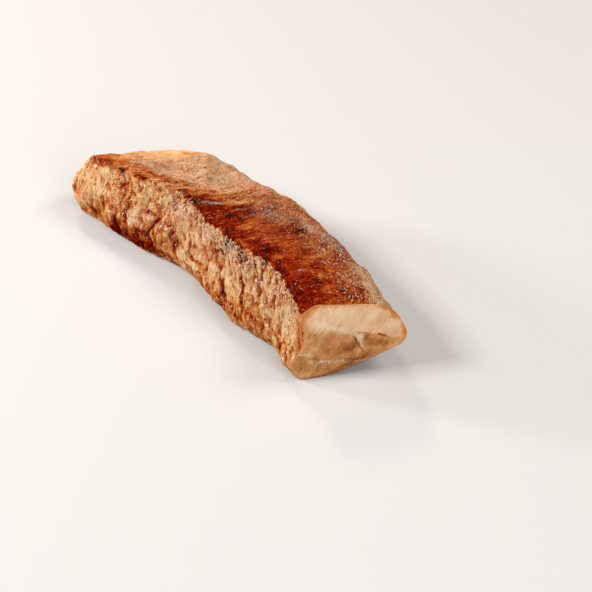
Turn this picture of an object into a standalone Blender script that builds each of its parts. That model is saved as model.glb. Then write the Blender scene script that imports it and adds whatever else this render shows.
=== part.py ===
"""Seared pork tenderloin, one solid: a long muscle with a blunt rounded end and one flat cut end.

Sections stand along the X axis, skewed as the muscle was cut. Each is a polygon of nine named
corners, rounded by quadratic arcs. The plan of the body comes from RAIL, the form of its
sections from PROFILE. Lumps and grooves are added along the surface normal and fade out
towards the flat that the meat rests on. Sizes in the tables are centimetres.
"""
import bmesh
import bpy
import numpy as np

CM = 0.01                     # metres in a centimetre

# the plan: x and y of the left foot, skew of the section in degrees, width, and how far
# the ridge stands in from the foot
RAIL = np.array([
    [-10.60, -4.65, 22.0, 6.30, 1.65],
    [-7.90, -3.47, 28.0, 7.30, 1.50],
    [-5.90, -3.36, 27.0, 7.15, 1.80],
    [-3.40, -2.84, 23.0, 6.80, 1.90],
    [-1.00, -2.45, 17.0, 6.40, 0.95],
    [1.50, -2.82, 14.0, 6.45, 1.35],
    [3.80, -2.87, 16.0, 6.05, 1.60],
    [5.70, -2.66, 21.0, 5.50, 0.77],
    [7.48, -3.18, 26.0, 5.42, 0.60],
])
# the form of the sections at three places: near the far end, in the middle and at the cut
PLACES = (-8.5, 0.5, 7.5)
PROFILE = {
    "waist": (0.38, 0.60, 0.70),          # hollow of the left wall, in from the foot
    "ridge_z": (3.12, 3.50, 3.60),        # height of the crusty ridge
    "crest": (1.25, 1.40, 0.55),          # highest line, in from the ridge
    "crest_z": (3.28, 3.82, 4.03),
    "shoulder": (0.70, 1.00, 1.13),       # right shoulder, in from the right side
    "shoulder_z": (3.08, 3.18, 3.58),
    "lift": (0.25, 0.25, 0.90),           # rise of the underside on the right
    "flat": (0.66, 0.68, 0.34),           # right end of the flat base, share of the width
}
BASE_IN = 0.40                # the base starts this far in from the foot
FOOT_Z = 0.80                 # height where the foot bulges most
WAIST_Z = 1.75                # height where the left wall is hollowest
SIDE_Z = 1.50                 # height where the right side bulges most
TUCK = 1.20                   # the right underside ends this far in from the side
# how much of each corner its arc rounds off, points on the arc, and points on the straight
# run that follows: base, foot, waist, ridge, crest, shoulder, side, underside, end of flat
CORNERS = [(0.33, 2, 1), (0.50, 4, 2), (0.75, 3, 3), (0.28, 4, 2), (1.05, 4, 5),
           (0.70, 4, 2), (0.95, 4, 1), (0.95, 3, 2), (0.70, 2, 4)]
RINGS = 84                    # sections along the body
END_RINGS = 7                 # further sections in the rounded end
END_REACH = 2.90              # length of the rounded end
END_INSET = 1.50              # how far its last section is drawn in

# single bulges and hollows: place, reach along x, y and z, and height
BUMPS = [
    ((-8.9, -3.3, 1.7), (0.9, 0.9, 0.9), 0.10),       # blunt knob of the far end
    ((-8.3, -2.3, 2.9), (0.7, 0.5, 0.4), 0.13),       # browned rim above the knob
    ((-7.2, -2.4, 2.7), (0.4, 0.5, 0.5), -0.14),      # dip behind the knob
    ((-7.1, -3.3, 1.0), (0.35, 0.5, 0.7), -0.13),     # fold under the knob
    ((-6.1, -3.2, 1.5), (0.6, 0.5, 0.6), 0.12),       # lumps of the far wall
    ((-4.9, -2.8, 1.7), (0.6, 0.5, 0.7), 0.10),
    ((-4.4, -3.2, 0.9), (0.4, 0.5, 0.5), -0.13),      # crevices between the foot lumps
    ((-2.6, -2.7, 1.0), (0.35, 0.5, 0.6), -0.12),
    ((-3.1, 2.9, 2.9), (0.6, 0.7, 0.6), -0.10),       # step where the pale end part begins
    ((-2.9, -1.0, 3.4), (0.7, 0.4, 0.4), 0.06),       # knots on the ridge
    ((1.2, -1.5, 3.4), (0.5, 0.4, 0.4), 0.07),
    ((6.3, 2.1, 2.7), (0.45, 0.35, 0.45), 0.12),      # flake on the right edge
]
# uneven flesh: wavelength along, wavelength across, phase and height of each set of waves
WAVES = [(4.7, 3.7, 5.2, 0.050), (2.9, 3.1, 0.4, 0.045), (1.9, 2.4, 2.1, 0.035),
         (1.45, 1.9, 4.0, 0.025), (1.05, 1.5, 1.2, 0.018)]
GROOVE_STEP = 0.85            # spacing of the grooves that run down the left wall
GROOVE_DEPTH = 0.075
REST_FADE = 0.35              # the relief fades to nothing over this height
END_FADE = 1.20               # and over this distance from the tip of the far end


def rail_at(x):
    """Foot y, skew, width and ridge at each x: a smooth cubic through the rows of RAIL."""
    place, rows = RAIL[:, 0], RAIL[:, 1:]
    slope = np.gradient(rows, place, axis=0)
    i = np.clip(np.searchsorted(place, x, side="right") - 1, 0, len(place) - 2)
    gap = (place[i + 1] - place[i])[:, None]
    t = (x - place[i])[:, None] / gap
    start = (2 * t**3 - 3 * t**2 + 1) * rows[i] + (t**3 - 2 * t**2 + t) * gap * slope[i]
    end = (3 * t**2 - 2 * t**3) * rows[i + 1] + (t**3 - t**2) * gap * slope[i + 1]
    return (start + end).T


def profile_at(x, name):
    """One size of PROFILE at each x: eased from the far end to the middle, then to the cut."""
    far, middle, cut = PROFILE[name]
    t = np.clip((x - PLACES[0]) / (PLACES[1] - PLACES[0]), 0, 1)
    u = np.clip((x - PLACES[1]) / (PLACES[2] - PLACES[1]), 0, 1)
    return far + (middle - far) * t * t * (3 - 2 * t) + (cut - middle) * u * u


def corners_at(x, width, ridge):
    """The nine corners of each section as (section, corner, [in from the foot, up])."""
    crest = ridge + profile_at(x, "crest")
    shoulder = width - profile_at(x, "shoulder")
    zero = np.zeros_like(x)
    inward = [zero + BASE_IN, zero, profile_at(x, "waist"), ridge, crest, shoulder, width,
              width - TUCK, width * profile_at(x, "flat")]
    upward = [zero, zero + FOOT_Z, zero + WAIST_Z, profile_at(x, "ridge_z"),
              profile_at(x, "crest_z"), profile_at(x, "shoulder_z"), zero + SIDE_Z,
              profile_at(x, "lift"), zero]
    return np.stack([np.array(inward).T, np.array(upward).T], -1)


def rounded(corners):
    """The outline of each section: an arc (1-t)^2 a + 2t(1-t) c + t^2 b at each corner c."""
    before = np.roll(corners, 1, 1) - corners
    after = np.roll(corners, -1, 1) - corners
    gap_before = np.linalg.norm(before, axis=-1)
    gap_after = np.linalg.norm(after, axis=-1)
    wanted = np.array([c[0] for c in CORNERS])
    cut = np.minimum(wanted, 0.48 * np.minimum(gap_before, gap_after))
    a = corners + before * (cut / gap_before)[..., None]
    b = corners + after * (cut / gap_after)[..., None]
    points = []
    for k, (_, arc, run) in enumerate(CORNERS):
        for t in np.arange(arc) / arc:
            points.append((1 - t)**2 * a[:, k] + 2 * t * (1 - t) * corners[:, k] + t**2 * b[:, k])
        for t in np.arange(run) / run:
            points.append((1 - t) * b[:, k] + t * a[:, (k + 1) % len(CORNERS)])
    return np.stack(points, 1)


def smooth_body():
    """Points (ring, point, xyz) before the relief; the rings shrink as a quarter circle at the end."""
    turn = np.linspace(np.pi / 2 - 0.12, 0, END_RINGS, endpoint=False)
    start, stop = RAIL[0, 0], RAIL[-1, 0]
    x = np.concatenate([start + END_REACH * (1 - np.sin(turn)),
                        np.linspace(start + END_REACH, stop, RINGS)])
    inset = np.concatenate([END_INSET * (1 - np.cos(turn)), np.zeros(RINGS)])
    foot_y, skew, width, ridge = rail_at(x)
    ridge_z = profile_at(x, "ridge_z")
    outline = rounded(corners_at(x, width, ridge))
    middle = np.stack([width * 0.5, ridge_z * 0.48], -1)[:, None]
    outline = middle + (outline - middle) * (1 - inset / (ridge_z * 0.5))[:, None, None]
    skew = np.radians(skew)[:, None]
    return np.stack([x[:, None] + outline[..., 0] * np.sin(skew),
                     foot_y[:, None] + outline[..., 0] * np.cos(skew),
                     outline[..., 1]], -1)


def outward(grid):
    """Unit normals of the grid: the step around it crossed with the step along it."""
    n = np.cross(np.gradient(grid, axis=0), np.roll(grid, -1, 1) - np.roll(grid, 1, 1))
    n /= np.linalg.norm(n, axis=-1, keepdims=True)
    side = ((grid - grid.mean(1, keepdims=True)) * n).sum(-1).mean()
    return n * np.sign(side)


def relief(grid, n):
    """Height to add along the normal: bumps, crossed waves and the grooves of the left wall."""
    x, y, z = np.moveaxis(grid, -1, 0)
    height = np.zeros_like(x)
    for place, reach, tall in BUMPS:
        height += tall * np.exp(-(((grid - place) / reach)**2).sum(-1))
    for along, across, phase, tall in WAVES:
        first = np.sin(2 * np.pi * (x + 0.5 * y + 0.3 * z) / along + phase)
        height += tall * first * np.sin(2 * np.pi * (y + 0.8 * z - 0.2 * x) / across - phase)
    wall = np.clip(-1.6 * n[..., 1] - 0.1, 0, 1) * np.exp(-(z - 2.0)**4)
    sway = 0.22 * np.sin(1.9 * x) + 0.10 * np.sin(4.3 * x + 1.0) + 0.18 * z
    groove = np.maximum(np.cos(2 * np.pi * (x + sway) / GROOVE_STEP), 0)**2
    height -= GROOVE_DEPTH * wall * groove * (0.65 + 0.35 * np.sin(1.1 * x + 0.5))
    from_tip = np.linalg.norm(grid - grid[0].mean(0), axis=-1)
    return height * np.clip(z / REST_FADE, 0, 1) * np.clip(from_tip / END_FADE, 0, 1)


def finished_body():
    """The grid in metres, centred on its box, with the relief and with its last ring cut flat."""
    grid = smooth_body()
    n = outward(grid)
    grid += n * relief(grid, n)[..., None]
    grid[..., 2] = np.maximum(grid[..., 2], 0)
    skew = np.radians(RAIL[-1, 2])
    facing = np.array([np.cos(skew), -np.sin(skew), 0])
    corner = np.array([RAIL[-1, 0], RAIL[-1, 1], 0])
    grid[-1] -= ((grid[-1] - corner) @ facing)[:, None] * facing
    low, high = grid.min((0, 1)), grid.max((0, 1))
    grid -= [(low[0] + high[0]) / 2, (low[1] + high[1]) / 2, low[2]]
    return grid * CM


def tenderloin(grid):
    """The closed mesh: a skin of quads between the rings, a poked end and one flat cut face."""
    bm = bmesh.new()
    rings = [[bm.verts.new(point) for point in ring] for ring in grid]
    for near, far in zip(rings[:-1], rings[1:]):
        for j in range(len(near)):
            k = (j + 1) % len(near)
            bm.faces.new((near[j], near[k], far[k], far[j]))
    end = bm.faces.new(rings[0])
    bm.faces.new(rings[-1])
    bmesh.ops.poke(bm, faces=[end])
    bmesh.ops.recalc_face_normals(bm, faces=bm.faces)
    bmesh.ops.triangulate(bm, faces=bm.faces, quad_method="SHORT_EDGE")
    mesh = bpy.data.meshes.new("tenderloin")
    bm.to_mesh(mesh)
    bm.free()
    mesh.shade_smooth()
    mesh.set_sharp_from_angle(angle=np.radians(50))
    return mesh


def seared_meat():
    """Seared, glazed meat: brown and half glossy."""
    mat = bpy.data.materials.new("seared_meat")
    mat.use_nodes = True
    shader = mat.node_tree.nodes["Principled BSDF"]
    shader.inputs["Base Color"].default_value = (0.32, 0.13, 0.06, 1)
    shader.inputs["Roughness"].default_value = 0.45
    return mat


for old in list(bpy.data.objects):
    bpy.data.objects.remove(old, do_unlink=True)

part = bpy.data.objects.new("tenderloin", tenderloin(finished_body()))
part.data.materials.append(seared_meat())
bpy.context.scene.collection.objects.link(part)
print("triangles", len(part.data.polygons), "size in metres", tuple(part.dimensions))
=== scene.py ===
# %% [markdown]
# # A seared pork tenderloin
#
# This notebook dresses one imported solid: a marinated pork tenderloin that was seared in a pan and
# cut across near one end. The solid gives the true size and place. The notebook adds what the eye
# looks for in meat: lumps, creases and fibres in the skin, the browning that follows them, the wet
# gloss of the marinade and the pale cut flesh.
#
# The frame is loaded first, and everything is set against its box.

import bpy
import numpy as np
from mathutils import Matrix, Vector


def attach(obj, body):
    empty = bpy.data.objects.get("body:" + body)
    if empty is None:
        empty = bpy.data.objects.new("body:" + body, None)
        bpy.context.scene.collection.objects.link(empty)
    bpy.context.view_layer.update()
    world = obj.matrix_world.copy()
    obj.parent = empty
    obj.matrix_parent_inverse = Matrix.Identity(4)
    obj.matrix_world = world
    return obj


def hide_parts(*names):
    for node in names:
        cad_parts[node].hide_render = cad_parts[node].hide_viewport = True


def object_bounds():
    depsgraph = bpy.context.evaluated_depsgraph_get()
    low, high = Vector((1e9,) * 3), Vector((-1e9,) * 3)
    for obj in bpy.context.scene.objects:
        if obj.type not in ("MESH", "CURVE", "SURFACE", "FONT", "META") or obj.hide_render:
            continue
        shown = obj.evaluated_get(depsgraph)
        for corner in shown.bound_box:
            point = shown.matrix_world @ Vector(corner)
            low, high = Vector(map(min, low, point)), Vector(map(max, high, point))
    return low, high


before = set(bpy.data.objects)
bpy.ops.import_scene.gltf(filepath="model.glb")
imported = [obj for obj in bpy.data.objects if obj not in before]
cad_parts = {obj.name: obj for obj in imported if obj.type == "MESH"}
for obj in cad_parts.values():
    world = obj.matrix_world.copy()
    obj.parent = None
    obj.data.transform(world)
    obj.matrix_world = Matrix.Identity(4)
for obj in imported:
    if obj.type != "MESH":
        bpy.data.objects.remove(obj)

NODE = "tenderloin"
cad_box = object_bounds()
cad_low, cad_high = (np.array(corner) for corner in cad_box)
print("solid, mm:", np.round((cad_high - cad_low) * 1000, 1))

# %% [markdown]
# ## The plan and the sections
#
# A tenderloin is one long muscle. Its form could be sculpted, but a form that follows a rule is
# easier to change: a rail gives the plan of the body, a profile gives the heights of its sections,
# and each section is a polygon of nine named corners, rounded by arcs. The tables are in
# centimetres, as a cook would measure, and are the same that the solid was built from. Here the
# sections stand ten times closer, so that the skin can carry fine relief.

# %% The rail and the profile
CM = 0.01  # metres in a centimetre
# x and y of the left foot, skew of the section in degrees, width, ridge in from the foot
RAIL = np.array([
    [-10.60, -4.65, 22.0, 6.30, 1.65],
    [-7.90, -3.47, 28.0, 7.30, 1.50],
    [-5.90, -3.36, 27.0, 7.15, 1.80],
    [-3.40, -2.84, 23.0, 6.80, 1.90],
    [-1.00, -2.45, 17.0, 6.40, 0.95],
    [1.50, -2.82, 14.0, 6.45, 1.35],
    [3.80, -2.87, 16.0, 6.05, 1.60],
    [5.70, -2.66, 21.0, 5.50, 0.77],
    [7.48, -3.18, 26.0, 5.42, 0.60],
])
PLACES = (-8.5, 0.5, 7.5)  # near the far end, the middle, the cut
PROFILE = {
    "waist": (0.38, 0.60, 0.70),          # hollow of the left wall, in from the foot
    "ridge_z": (3.12, 3.50, 3.60),        # height of the crusty ridge
    "crest": (1.25, 1.40, 0.55),          # highest line, in from the ridge
    "crest_z": (3.28, 3.82, 4.03),
    "shoulder": (0.70, 1.00, 1.13),       # right shoulder, in from the right side
    "shoulder_z": (3.08, 3.18, 3.58),
    "lift": (0.25, 0.25, 0.90),           # rise of the underside on the right
    "flat": (0.66, 0.68, 0.34),           # right end of the flat base, share of the width
}
BASE_IN, TUCK = 0.40, 1.20  # ends of the flat base: in from the foot, and in from the side
FOOT_Z, WAIST_Z, SIDE_Z = 0.80, 1.75, 1.50  # heights of foot, hollow and right side
END_REACH, END_INSET = 2.90, 1.50  # length of the rounded end, and how far it is drawn in
# how much of each corner its arc rounds off, points on the arc, points on the straight run
# after it: base, foot, waist, ridge, crest, shoulder, side, underside, end of flat
CORNERS = [(0.33, 3, 2), (0.50, 13, 6), (0.75, 16, 22), (0.28, 12, 12), (1.05, 18, 38),
           (0.70, 14, 9), (0.95, 11, 10), (0.95, 9, 12), (0.70, 5, 14)]
RINGS, END_RINGS = 342, 52
print("length of the rail, cm:", round(RAIL[-1, 0] - RAIL[0, 0], 1))


# %% Three small helpers
def clip(value, low=0, high=1):
    """The value, held between low and high."""
    return np.clip(value, low, high)


def bell(value):
    """exp(-value^2): 1 in the middle, 0.37 at 1 and nearly 0 at 2."""
    return np.exp(-value**2)


def ramp(value, low, high):
    """0 below low, 1 above high, t^2 (3 - 2t) at the share t between; low may be the larger."""
    t = clip((value - low) / (high - low))
    return t * t * (3 - 2 * t)


print("ramp from 0 to 1, at 0.25, 0.5 and 0.75:", ramp(np.array([0.25, 0.5, 0.75]), 0, 1))


# %% Sections along the rail
def rail_at(x):
    """Foot y, skew, width and ridge at each x: a smooth cubic through the rows of RAIL."""
    place, rows = RAIL[:, 0], RAIL[:, 1:]
    slope = np.gradient(rows, place, axis=0)
    i = clip(np.searchsorted(place, x, side="right") - 1, 0, len(place) - 2)
    gap = (place[i + 1] - place[i])[:, None]
    t = (x - place[i])[:, None] / gap
    start = (2 * t**3 - 3 * t**2 + 1) * rows[i] + (t**3 - 2 * t**2 + t) * gap * slope[i]
    end = (3 * t**2 - 2 * t**3) * rows[i + 1] + (t**3 - t**2) * gap * slope[i + 1]
    return (start + end).T


def profile_at(x, name):
    """One size of PROFILE at each x: eased from the far end to the middle, then to the cut."""
    far, middle, cut = PROFILE[name]
    t = clip((x - PLACES[0]) / (PLACES[1] - PLACES[0]))
    u = clip((x - PLACES[1]) / (PLACES[2] - PLACES[1]))
    return far + (middle - far) * t * t * (3 - 2 * t) + (cut - middle) * u * u


def corners_at(x, width, ridge):
    """The nine corners of each section as (section, corner, [in from the foot, up])."""
    crest = ridge + profile_at(x, "crest")
    shoulder = width - profile_at(x, "shoulder")
    zero = np.zeros_like(x)
    inward = [zero + BASE_IN, zero, profile_at(x, "waist"), ridge, crest, shoulder, width,
              width - TUCK, width * profile_at(x, "flat")]
    upward = [zero, zero + FOOT_Z, zero + WAIST_Z, profile_at(x, "ridge_z"),
              profile_at(x, "crest_z"), profile_at(x, "shoulder_z"), zero + SIDE_Z,
              profile_at(x, "lift"), zero]
    return np.stack([np.array(inward).T, np.array(upward).T], -1)


def rounded(corners):
    """The outline of each section: an arc (1-t)^2 a + 2t(1-t) c + t^2 b at each corner c."""
    before = np.roll(corners, 1, 1) - corners
    after = np.roll(corners, -1, 1) - corners
    gap_before = np.linalg.norm(before, axis=-1)
    gap_after = np.linalg.norm(after, axis=-1)
    wanted = np.array([c[0] for c in CORNERS])
    cut = np.minimum(wanted, 0.48 * np.minimum(gap_before, gap_after))
    a = corners + before * (cut / gap_before)[..., None]
    b = corners + after * (cut / gap_after)[..., None]
    points = []
    for k, (_, arc, run) in enumerate(CORNERS):
        for t in np.arange(arc) / arc:
            points.append((1 - t)**2 * a[:, k] + 2 * t * (1 - t) * corners[:, k] + t**2 * b[:, k])
        for t in np.arange(run) / run:
            points.append((1 - t) * b[:, k] + t * a[:, (k + 1) % len(CORNERS)])
    return np.stack(points, 1)


def outward(grid):
    """Unit normals of the grid: the step around it crossed with the step along it."""
    n = np.cross(np.gradient(grid, axis=0), np.roll(grid, -1, 1) - np.roll(grid, 1, 1))
    n /= np.maximum(np.linalg.norm(n, axis=-1, keepdims=True), 1e-9)
    side = ((grid - grid.mean(1, keepdims=True)) * n).sum(-1).mean()
    return n * np.sign(side)


print("widest section, cm:", round(float(rail_at(RAIL[:, 0])[2].max()), 2))

# %% The plain body
FIRST_TURN = np.pi / 2 - 0.02  # the rounded end starts just short of a point
turn = np.linspace(FIRST_TURN, 0, END_RINGS, endpoint=False)
start_x, stop_x = RAIL[0, 0], RAIL[-1, 0]
station = np.concatenate([start_x + END_REACH * (1 - np.sin(turn)),
                          np.linspace(start_x + END_REACH, stop_x, RINGS)])
inset = np.concatenate([END_INSET * (1 - np.cos(turn)), np.zeros(RINGS)])
foot_y, skew, width, ridge = rail_at(station)
ridge_z = profile_at(station, "ridge_z")
outline = rounded(corners_at(station, width, ridge))
middle = np.stack([width * 0.5, ridge_z * 0.48], -1)[:, None]
outline = middle + (outline - middle) * (1 - inset / (ridge_z * 0.5))[:, None, None]
skew = np.radians(skew)[:, None]
body = np.stack([station[:, None] + outline[..., 0] * np.sin(skew),
                 foot_y[:, None] + outline[..., 0] * np.cos(skew), outline[..., 1]], -1)
normal = outward(body)
print("skin grid:", body.shape[0], "rings of", body.shape[1], "points")

# %% [markdown]
# ## Where a point lies on the meat
#
# Browning and fibres follow the muscle, so each point needs an address on it: how far along it
# lies, and how far around from the ridge, over the top as plus and down the left wall as minus.
# Fibres don't run square across: over the top they sweep in an arc, down the wall they lean. A
# third number, the same all along one fibre, is the place where that fibre meets the ridge.

# %% The address of each point
before_corner = np.cumsum([0] + [arc + run for _, arc, run in CORNERS])
RIDGE_POINT = before_corner[3] + CORNERS[3][1] // 2
step = np.linalg.norm(np.roll(body, -1, 1) - body, axis=-1)
walked = np.cumsum(step, 1) - step
around = walked - walked[:, [RIDGE_POINT]]
along = np.repeat(station[:, None], body.shape[1], 1)


def lean(r):
    """How far a fibre has moved along at a distance r around: an arc on top, a slope below."""
    top = clip(r, 0, 3.5)
    past = np.maximum(r - 3.5, 0)
    return 0.75 * top - 0.26 * top**2 - 1.07 * past - 0.60 * np.minimum(r, 0)


fibre = along - lean(around)
print("around the meat, cm:", round(float(around.min()), 1), "to", round(float(around.max()), 1))

# %% [markdown]
# ## Chance that stays the same
#
# Meat is uneven at every scale. Gradient noise gives that: at each whole-number point of space
# stands a random slope, and between the points the slopes are eased into each other. The slopes
# come from one seeded draw, so each run makes the same piece of meat.

# %% Noise
rng = np.random.default_rng(11)
SHUFFLE = rng.permutation(256)
SLOPES = rng.normal(size=(256, 3))
SLOPES /= np.linalg.norm(SLOPES, axis=1, keepdims=True)


def noise(seed, *places):
    """Noise of about -1 to 1 at the places, three arrays in units of one lump (or two)."""
    third = places[2] if len(places) > 2 else np.zeros_like(places[0])
    points = np.stack([places[0] + 37.3 * seed, places[1] - 11.9 * seed, third + 5.7 * seed], -1)
    cell = np.floor(points).astype(int)
    t = points - cell
    ease = t**3 * (t * (t * 6 - 15) + 10)
    total = 0
    for corner in np.ndindex(2, 2, 2):
        key = (cell + corner) & 255
        pick = SHUFFLE[(SHUFFLE[(SHUFFLE[key[..., 0]] + key[..., 1]) & 255] + key[..., 2]) & 255]
        total += ((t - corner) * SLOPES[pick]).sum(-1) * np.where(corner, ease, 1 - ease).prod(-1)
    return 1.6 * total


def lumps(seed, size):
    """Noise in space with lumps of one size in centimetres, the same in every direction."""
    return noise(seed, *np.moveaxis(body, -1, 0) / size)


def streaks(seed, wide, long):
    """Noise drawn out along the fibres, with streaks so wide and so long in centimetres."""
    return noise(seed, fibre / wide, around / long)


def layers(kind, seed, *sizes, weights=(0.5, 0.3, 0.2)):
    """The same noise at three sizes, each half the last, summed with falling weights."""
    return sum(w * kind(seed + k, *(size / 2**k for size in sizes))
               for k, w in enumerate(weights))


print("noise on the skin:", np.round([lumps(1, 1.0).std(), streaks(2, 0.3, 1.2).std()], 2))

# %% [markdown]
# ## Marks and routes
#
# Some features are single: a charred knot, a bright fold, a long crease. They could be painted,
# but a list can be read and changed. Each mark is one row: where it is, its reach, how strong it
# is and how it leans. A crease is a short route of points. Noise bends both, so that none of them
# shows as an ellipse or a straight line.

# %% Marks and routes
bend_along = along + 0.10 * lumps(3, 0.42) + 0.05 * lumps(4, 0.17)
bend_around = around + 0.10 * lumps(5, 0.42) + 0.05 * lumps(6, 0.17)


def marks(rows):
    """Sum of soft spots exp(-d^2). A row: place along and around, reach along and around,
    strength and, where it isn't upright, how far it leans along for each step around."""
    total = np.zeros_like(along)
    for at, off, reach, spread, strength, *lean in rows:
        up = bend_around - off
        total += strength * np.exp(-((bend_along - at - sum(lean) * up) / reach)**2
                                   - (up / spread)**2)
    return total


def near_route(u, v, points, wide):
    """exp(-(d/wide)^2) of the distance d from (u, v) to a line through the points."""
    nearest = np.full(u.shape, np.inf)
    for (u0, v0), (u1, v1) in zip(points[:-1], points[1:]):
        du, dv = u1 - u0, v1 - v0
        t = clip(((u - u0) * du + (v - v0) * dv) / (du * du + dv * dv))
        nearest = np.minimum(nearest, np.hypot(u - u0 - t * du, v - v0 - t * dv))
    return bell(nearest / wide)


# creases of the left wall: points (along, around), half width, strength
CREASES = [
    ([(1, -0.2), (0.85, -0.65), (0.7, -0.95), (0.1, -1.25)], 0.09, 0.9),
    ([(0.4, -1.45), (0.75, -1.7), (1.6, -2.2), (2.1, -2.6)], 0.08, 0.8),
    ([(1.85, -0.45), (2.2, -0.95), (2.5, -1.5), (3.2, -2.45)], 0.08, 0.8),
    ([(3, -0.05), (3.15, -0.35), (3.4, -1), (3.8, -1.6)], 0.08, 1),
    ([(4, -0.6), (4.05, -1.1), (4.3, -1.25)], 0.06, 0.5),
    ([(4.6, -1), (4.65, -1.6)], 0.07, 0.5),
    ([(5.2, -0.7), (5.15, -1.2)], 0.07, 0.4),
    ([(-1.4, -2.25), (-0.9, -2.4), (-0.3, -2.25)], 0.07, 0.6),
    ([(5, -2.2), (5.6, -2.6), (6.4, -2.95)], 0.08, 0.3),
    ([(-6.9, -0.75), (-6.3, -1.25)], 0.09, 0.5),
    ([(-3.9, -1.8), (-3.9, -2.6)], 0.07, 0.9),
    ([(-5.7, -1.6), (-5.3, -2.3), (-4.9, -2.9)], 0.08, 0.7),
    ([(-6.1, -1.9), (-5.9, -2.6), (-5.5, -3.1)], 0.08, 0.7),
    ([(-7.4, -1.9), (-7, -2.5)], 0.1, 0.8),
    ([(-8, -1.9), (-7.7, -2.6), (-7.5, -3.2)], 0.08, 0.6),
]
crease_lines = sum(strength * near_route(bend_along, bend_around, points, wide)
                   for points, wide, strength in CREASES)
print("creases cover", round(float((crease_lines > 0.4).mean()) * 100, 1), "% of the skin")

# %% [markdown]
# ## The zones of the skin
#
# The pan browned the top far more than the walls. Zones follow from that: the walls left and
# right with their foot, the glazed top beside the ridge, the dull grainy top beyond it, the pale
# far top, the knob at the far end, and the underside. Each zone is a number from 0 to 1, with an
# edge that noise makes ragged.

# %% Zones
GLAZE_EDGE = [(-4.6, 0.15), (-4.0, 0.35), (-3.0, 0.55), (-2.0, 0.80), (-1.4, 1.10), (-0.8, 2.10),
              (0.0, 2.30), (1.0, 1.90), (2.0, 2.50), (3.2, 2.90), (5.0, 2.80), (7.5, 3.10)]
DARK_EDGE = [(-4.3, 0.25), (-2.5, 0.35), (-1.6, 0.80), (-0.8, 1.90), (0.1, 1.90), (0.7, 0.55),
             (2.2, 0.60), (3.6, 0.80), (4.3, 1.20), (5.2, 1.35), (6.5, 1.25), (7.5, 1.30)]
glaze_edge = np.interp(along, *zip(*GLAZE_EDGE))
dark_edge = np.interp(along, *zip(*DARK_EDGE))
ragged = 0.55 * layers(streaks, 60, 0.55, 1.8) + 0.25 * layers(lumps, 63, 0.5)
torn = 0.16 * noise(10, along / 0.55, around) + 0.13 * noise(11, along / 0.20, around)
torn += 0.07 * noise(66, along / 0.09, around)
over_ridge = 0.15 * ramp(along, -4.2, -3.4)  # the glaze runs a little over the ridge
on_top = ramp(around + over_ridge, torn - 0.06, torn + 0.06)
browned_part = ramp(along + 1.3 * layers(streaks, 67, 0.5, 2.0) + 0.1 * around, -2.9, -0.9)
glaze = on_top * ramp(around - 1.3 * ragged, glaze_edge + 0.30, glaze_edge - 0.30)
glaze *= ramp(along + 0.3 * lumps(13, 0.5), -4.7, -4.2)
dark = glaze * ramp(around - 1.5 * ragged, dark_edge + 0.35, dark_edge - 0.25)
side = ramp(around + 0.5 * lumps(14, 0.9), 4.1, 5.0)
wall = np.maximum(1 - on_top, side)
foot = np.maximum(ramp(around + 0.45 * layers(lumps, 70, 0.9), -2.2, -3.3),
                  ramp(body[..., 2], 1.1, 0.5))
under = ramp(-normal[..., 2], 0.45, 0.9)
knob = ramp(along + 0.3 * lumps(16, 0.5), -7.7, -8.3)
far_top = (1 - wall) * (1 - browned_part) * (1 - knob)
print("share of glaze:", round(float(glaze.mean()), 2), " wall:", round(float(wall.mean()), 2))

# %% [markdown]
# ## Relief
#
# The visible shape comes from the mesh. Heights are added along the normal, large before small:
# the bumps, waves and grooves that the solid has too; rounded folds with narrow creases between
# them on the walls, longer towards the cut; fibre streaks on the top; a torn, crusty ridge with
# dried grains below it; and a right rim that turns out at the cut. Folds come from the distance
# of noise to zero: where it crosses zero, two of them meet in a crease, and the crease is kept as
# a number to be browned later.

# %% Large relief
BUMPS = [  # place, reach along x, y and z, height
    # knob of the far end, the rim above it, the dip behind it and the fold under it
    ((-8.9, -3.3, 1.7), (0.9, 0.9, 0.9), 0.10), ((-8.3, -2.3, 2.9), (0.7, 0.5, 0.4), 0.13),
    ((-7.2, -2.4, 2.7), (0.4, 0.5, 0.5), -0.14), ((-7.1, -3.3, 1.0), (0.35, 0.5, 0.7), -0.13),
    # lumps of the far wall, and crevices between the lumps of its foot
    ((-6.1, -3.2, 1.5), (0.6, 0.5, 0.6), 0.12), ((-4.9, -2.8, 1.7), (0.6, 0.5, 0.7), 0.10),
    ((-4.4, -3.2, 0.9), (0.4, 0.5, 0.5), -0.13), ((-2.6, -2.7, 1.0), (0.35, 0.5, 0.6), -0.12),
    # step where the pale end begins, two knots on the ridge, and a flake on the right edge
    ((-3.1, 2.9, 2.9), (0.6, 0.7, 0.6), -0.10), ((-2.9, -1.0, 3.4), (0.7, 0.4, 0.4), 0.06),
    ((1.2, -1.5, 3.4), (0.5, 0.4, 0.4), 0.07), ((6.3, 2.1, 2.7), (0.45, 0.35, 0.45), 0.12),
]
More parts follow.
